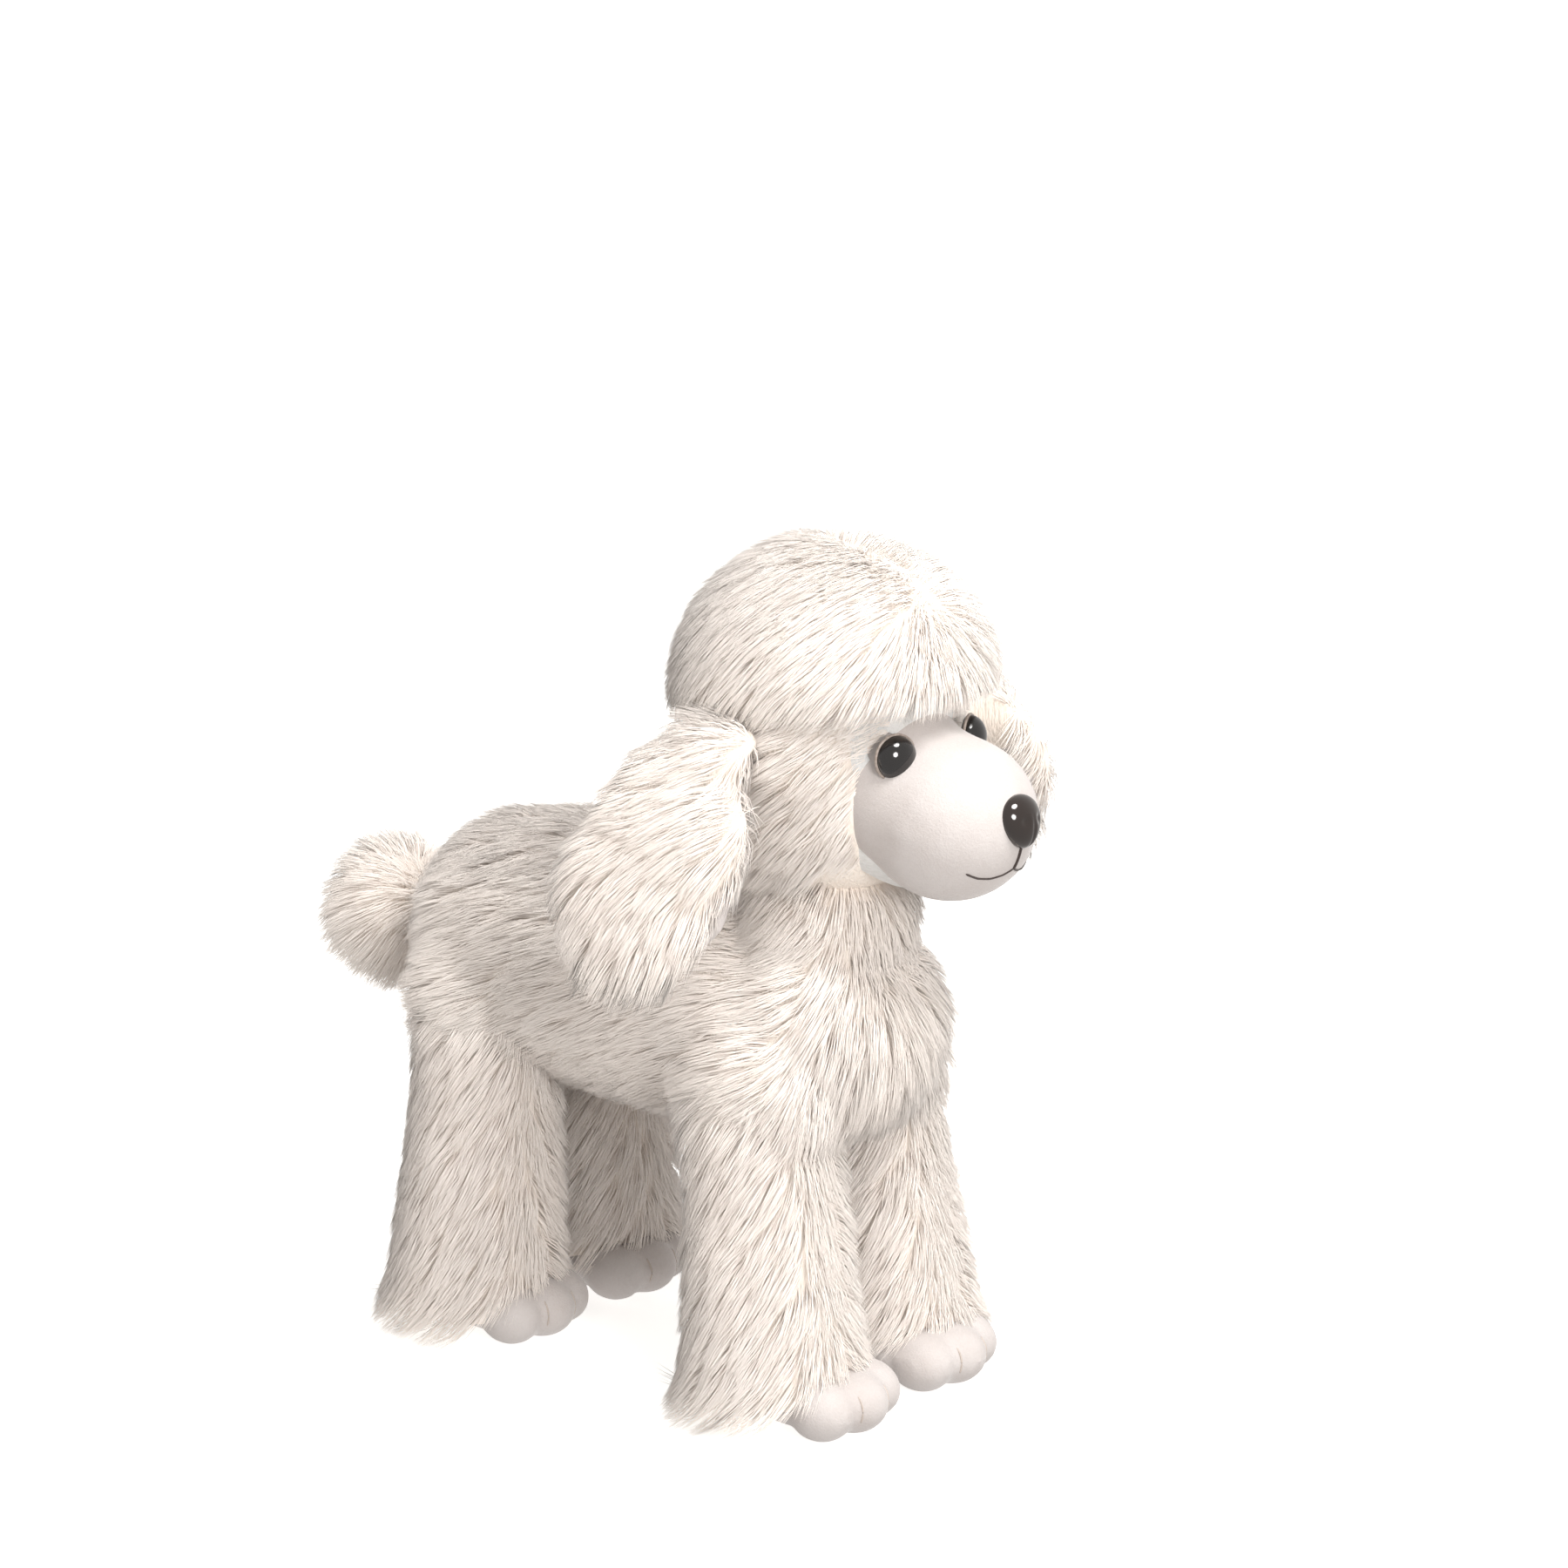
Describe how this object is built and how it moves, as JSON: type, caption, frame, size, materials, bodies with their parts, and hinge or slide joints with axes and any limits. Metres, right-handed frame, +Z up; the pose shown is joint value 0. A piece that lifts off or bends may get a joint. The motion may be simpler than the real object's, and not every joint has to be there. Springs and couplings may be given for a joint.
{
  "type": "plush dog",
  "caption": "Stuffed toy poodle standing on its legs, with a domed topknot, hanging ears, short muzzle, bell-shaped legs and a round pompom tail.",
  "frame": {"origin": "on the floor, at the middle of the toy's length and width", "axes": "+Z up, the dog faces -Y, its left side is +X"},
  "size_m": [0.212, 0.352, 0.3307],
  "materials": {
    "long_fur": "long-pile ivory faux fur",
    "short_plush": "short-pile white plush",
    "fill": "polyester fibre fill",
    "thread": "embroidery thread",
    "black_plastic": "polished moulded plastic",
    "white_plastic": "plain moulded plastic"
  },
  "bodies": {
    "torso": {"body_fur_left": "long_fur", "body_fur_right": "long_fur", "belly_panel": "long_fur", "chest_ruff": "long_fur", "body_stuffing": "fill", "neck_fur": "long_fur"},
    "neck": {"neck_stuffing": "fill"},
    "head": {"head_fur": "long_fur", "topknot_fur": "long_fur", "muzzle_plush": "short_plush", "head_stuffing": "fill", "mouth_stitches": "thread", "right_eye": "black_plastic", "left_eye": "black_plastic", "right_eye_washer": "white_plastic", "left_eye_washer": "white_plastic", "nose": "black_plastic", "nose_washer": "white_plastic"},
    "right_ear": {"right_ear_fur": "long_fur", "right_ear_lining": "short_plush"},
    "left_ear": {"left_ear_fur": "long_fur", "left_ear_lining": "short_plush"},
    "tail": {"tail_fur": "long_fur", "tail_stuffing": "fill", "tail_dock": "long_fur"},
    "front_right_leg": {"front_right_leg_fur": "long_fur", "front_right_leg_stuffing": "fill", "front_right_paw": "short_plush", "front_right_toe_stitches": "thread"},
    "front_left_leg": {"front_left_leg_fur": "long_fur", "front_left_leg_stuffing": "fill", "front_left_paw": "short_plush", "front_left_toe_stitches": "thread"},
    "rear_right_leg": {"rear_right_leg_fur": "long_fur", "rear_right_leg_stuffing": "fill", "rear_right_paw": "short_plush", "rear_right_toe_stitches": "thread"},
    "rear_left_leg": {"rear_left_leg_fur": "long_fur", "rear_left_leg_stuffing": "fill", "rear_left_paw": "short_plush", "rear_left_toe_stitches": "thread"}
  },
  "joints": [
    {"name": "head_turn", "type": "hinge", "parent": "torso", "child": "neck", "pos_m": [0, -0.09, 0.19068], "axis": [0, 0, 1], "range_deg": [-12, 12], "stiffness_Nm_per_rad": 0.5},
    {"name": "head_nod", "type": "hinge", "parent": "neck", "child": "head", "pos_m": [0, -0.09, 0.19068], "axis": [1, 0, 0], "range_deg": [-8, 12], "stiffness_Nm_per_rad": 2},
    {"name": "right_ear_flap", "type": "hinge", "parent": "head", "child": "right_ear", "pos_m": [-0.056, -0.082, 0.26068], "axis": [0, 1, 0], "range_deg": [0, 45]},
    {"name": "left_ear_flap", "type": "hinge", "parent": "head", "child": "left_ear", "pos_m": [0.056, -0.082, 0.26068], "axis": [0, -1, 0], "range_deg": [0, 45]},
    {"name": "tail_wag", "type": "hinge", "parent": "torso", "child": "tail", "pos_m": [0, 0.104, 0.15121], "axis": [0, 0, 1], "range_deg": [-20, 20], "stiffness_Nm_per_rad": 0.2},
    {"name": "front_right_leg_swing", "type": "hinge", "parent": "torso", "child": "front_right_leg", "pos_m": [-0.032, -0.078, 0.112], "axis": [1, 0, 0], "range_deg": [-15, 15], "stiffness_Nm_per_rad": 1},
    {"name": "front_left_leg_swing", "type": "hinge", "parent": "torso", "child": "front_left_leg", "pos_m": [0.032, -0.078, 0.112], "axis": [1, 0, 0], "range_deg": [-15, 15], "stiffness_Nm_per_rad": 1},
    {"name": "rear_right_leg_swing", "type": "hinge", "parent": "torso", "child": "rear_right_leg", "pos_m": [-0.032, 0.056, 0.12137], "axis": [1, 0, 0], "range_deg": [-15, 15], "stiffness_Nm_per_rad": 1},
    {"name": "rear_left_leg_swing", "type": "hinge", "parent": "torso", "child": "rear_left_leg", "pos_m": [0.032, 0.056, 0.12137], "axis": [1, 0, 0], "range_deg": [-15, 15], "stiffness_Nm_per_rad": 1}
  ]
}
